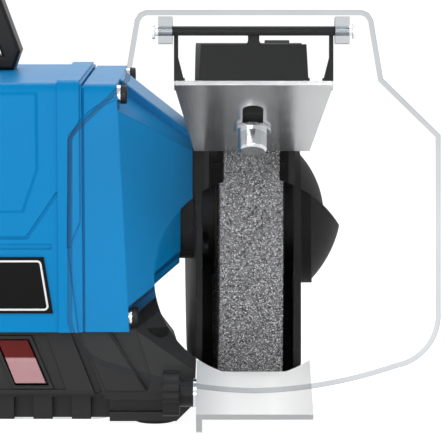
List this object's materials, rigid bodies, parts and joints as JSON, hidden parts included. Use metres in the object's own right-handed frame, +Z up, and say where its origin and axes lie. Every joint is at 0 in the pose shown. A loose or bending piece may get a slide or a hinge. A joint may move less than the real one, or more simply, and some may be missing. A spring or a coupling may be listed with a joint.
{
  "type": "bench grinder",
  "caption": "Double-ended bench grinder: blue motor housing on a black base, guarded abrasive wheels, magnifier eye shields, spark guards and adjustable tool rests.",
  "frame": {"origin": "centre of the bench bolt pattern on the bench plane, below the middle of the spindle", "axes": "+X along the spindle to the operator's right, +Y away from the operator, +Z up"},
  "size_m": [0.4856, 0.2385, 0.204],
  "materials": {
    "blue_paint": "satin blue enamel",
    "black_cast": "fine textured black enamel",
    "black_plastic": "fine grained black moulding",
    "red_plastic": "glossy red moulding",
    "plate_black": "gloss black plate with a thin pale border",
    "bright_steel": "polished sheet steel",
    "zinc_steel": "zinc plated steel",
    "chrome_screw": "bright plated screws",
    "dark_steel": "turned steel",
    "lamination": "stacked sheet iron",
    "copper": "enamelled copper wire",
    "abrasive": "bonded grey grit",
    "clear_sheet": "clear moulded sheet",
    "clear_lens": "clear moulded lens",
    "rubber": "soft black rubber",
    "paper": "blotting paper",
    "capacitor_can": "drawn can"
  },
  "bodies": {
    "frame": {"housing": "blue_paint", "end_bell_left": "blue_paint", "end_bell_right": "blue_paint", "base": "black_cast", "guard_left": "black_cast", "guard_right": "black_cast", "guard_cover_left": "black_cast", "guard_cover_right": "black_cast", "carry_handle": "black_plastic", "switch_frame": "black_plastic", "cable_gland": "black_plastic", "nameplate": "plate_black", "spark_bolts": "zinc_steel", "spark_washers": "zinc_steel", "spark_nuts": "zinc_steel", "base_plate": "zinc_steel", "base_plate_screws": "zinc_steel", "guard_screws": "zinc_steel", "cover_screws": "zinc_steel", "handle_screws": "zinc_steel", "end_bell_screws": "chrome_screw", "bearing_left": "dark_steel", "bearing_right": "dark_steel", "stator_core": "lamination", "stator_windings": "copper", "rubber_feet": "rubber", "run_capacitor": "capacitor_can"},
    "spindle": {"spindle": "dark_steel", "rotor_core": "lamination", "wheel_left": "abrasive", "wheel_right": "abrasive", "inner_flange_left": "dark_steel", "inner_flange_right": "dark_steel", "outer_flange_left": "dark_steel", "outer_flange_right": "dark_steel", "wheel_blotters": "paper", "spindle_nut_left": "dark_steel", "spindle_nut_right": "dark_steel"},
    "switch_rocker": {"switch_rocker": "red_plastic"},
    "spark_guard_right": {"spark_guard_right": "bright_steel", "shield_rod_right": "black_plastic"},
    "eye_shield_right": {"eye_shield_right": "clear_sheet", "magnifier_right": "clear_lens"},
    "rest_pivot_right": {"rest_washer_right": "zinc_steel"},
    "tool_rest_right": {"tool_rest_right": "bright_steel"},
    "rest_knob_right": {"rest_knob_right": "black_plastic", "rest_stud_right": "zinc_steel"},
    "spark_guard_left": {"spark_guard_left": "bright_steel", "shield_rod_left": "black_plastic"},
    "eye_shield_left": {"eye_shield_left": "clear_sheet", "magnifier_left": "clear_lens"},
    "rest_pivot_left": {"rest_washer_left": "zinc_steel"},
    "tool_rest_left": {"tool_rest_left": "bright_steel"},
    "rest_knob_left": {"rest_knob_left": "black_plastic", "rest_stud_left": "zinc_steel"}
  },
  "joints": [
    {"name": "spindle_spin", "type": "hinge", "parent": "frame", "child": "spindle", "pos_m": [0, 0, 0.088], "axis": [1, 0, 0], "continuous": true},
    {"name": "rocker_press", "type": "hinge", "parent": "frame", "child": "switch_rocker", "pos_m": [0.061, -0.05865, 0.02865], "axis": [1, 0, 0], "range_deg": [0, 14]},
    {"name": "spark_slide_right", "type": "slide", "parent": "frame", "child": "spark_guard_right", "axis": [0, -0.8704, 0.4924], "range_m": [-0.001, 0.008]},
    {"name": "shield_flip_right", "type": "hinge", "parent": "spark_guard_right", "child": "eye_shield_right", "pos_m": [0.165, -0.125, 0.1825], "axis": [-1, 0, 0], "range_deg": [0, 90]},
    {"name": "rest_tilt_right", "type": "hinge", "parent": "frame", "child": "rest_pivot_right", "pos_m": [0.165, -0.08, 0.0187], "axis": [1, 0, 0], "range_deg": [-17, 5]},
    {"name": "rest_slide_right", "type": "slide", "parent": "rest_pivot_right", "child": "tool_rest_right", "axis": [0, 0.9553, 0.2957], "range_m": [-0.004, 0.014]},
    {"name": "knob_turn_right", "type": "hinge", "parent": "frame", "child": "rest_knob_right", "pos_m": [0.165, -0.08, 0.0187], "axis": [-1, 0, 0], "range_deg": [0, 360]},
    {"name": "spark_slide_left", "type": "slide", "parent": "frame", "child": "spark_guard_left", "axis": [0, -0.8704, 0.4924], "range_m": [-0.001, 0.008]},
    {"name": "shield_flip_left", "type": "hinge", "parent": "spark_guard_left", "child": "eye_shield_left", "pos_m": [-0.165, -0.125, 0.1825], "axis": [-1, 0, 0], "range_deg": [0, 90]},
    {"name": "rest_tilt_left", "type": "hinge", "parent": "frame", "child": "rest_pivot_left", "pos_m": [-0.165, -0.08, 0.0187], "axis": [1, 0, 0], "range_deg": [-17, 5]},
    {"name": "rest_slide_left", "type": "slide", "parent": "rest_pivot_left", "child": "tool_rest_left", "axis": [0, 0.9553, 0.2957], "range_m": [-0.004, 0.014]},
    {"name": "knob_turn_left", "type": "hinge", "parent": "frame", "child": "rest_knob_left", "pos_m": [-0.165, -0.08, 0.0187], "axis": [1, 0, 0], "range_deg": [0, 360]}
  ]
}
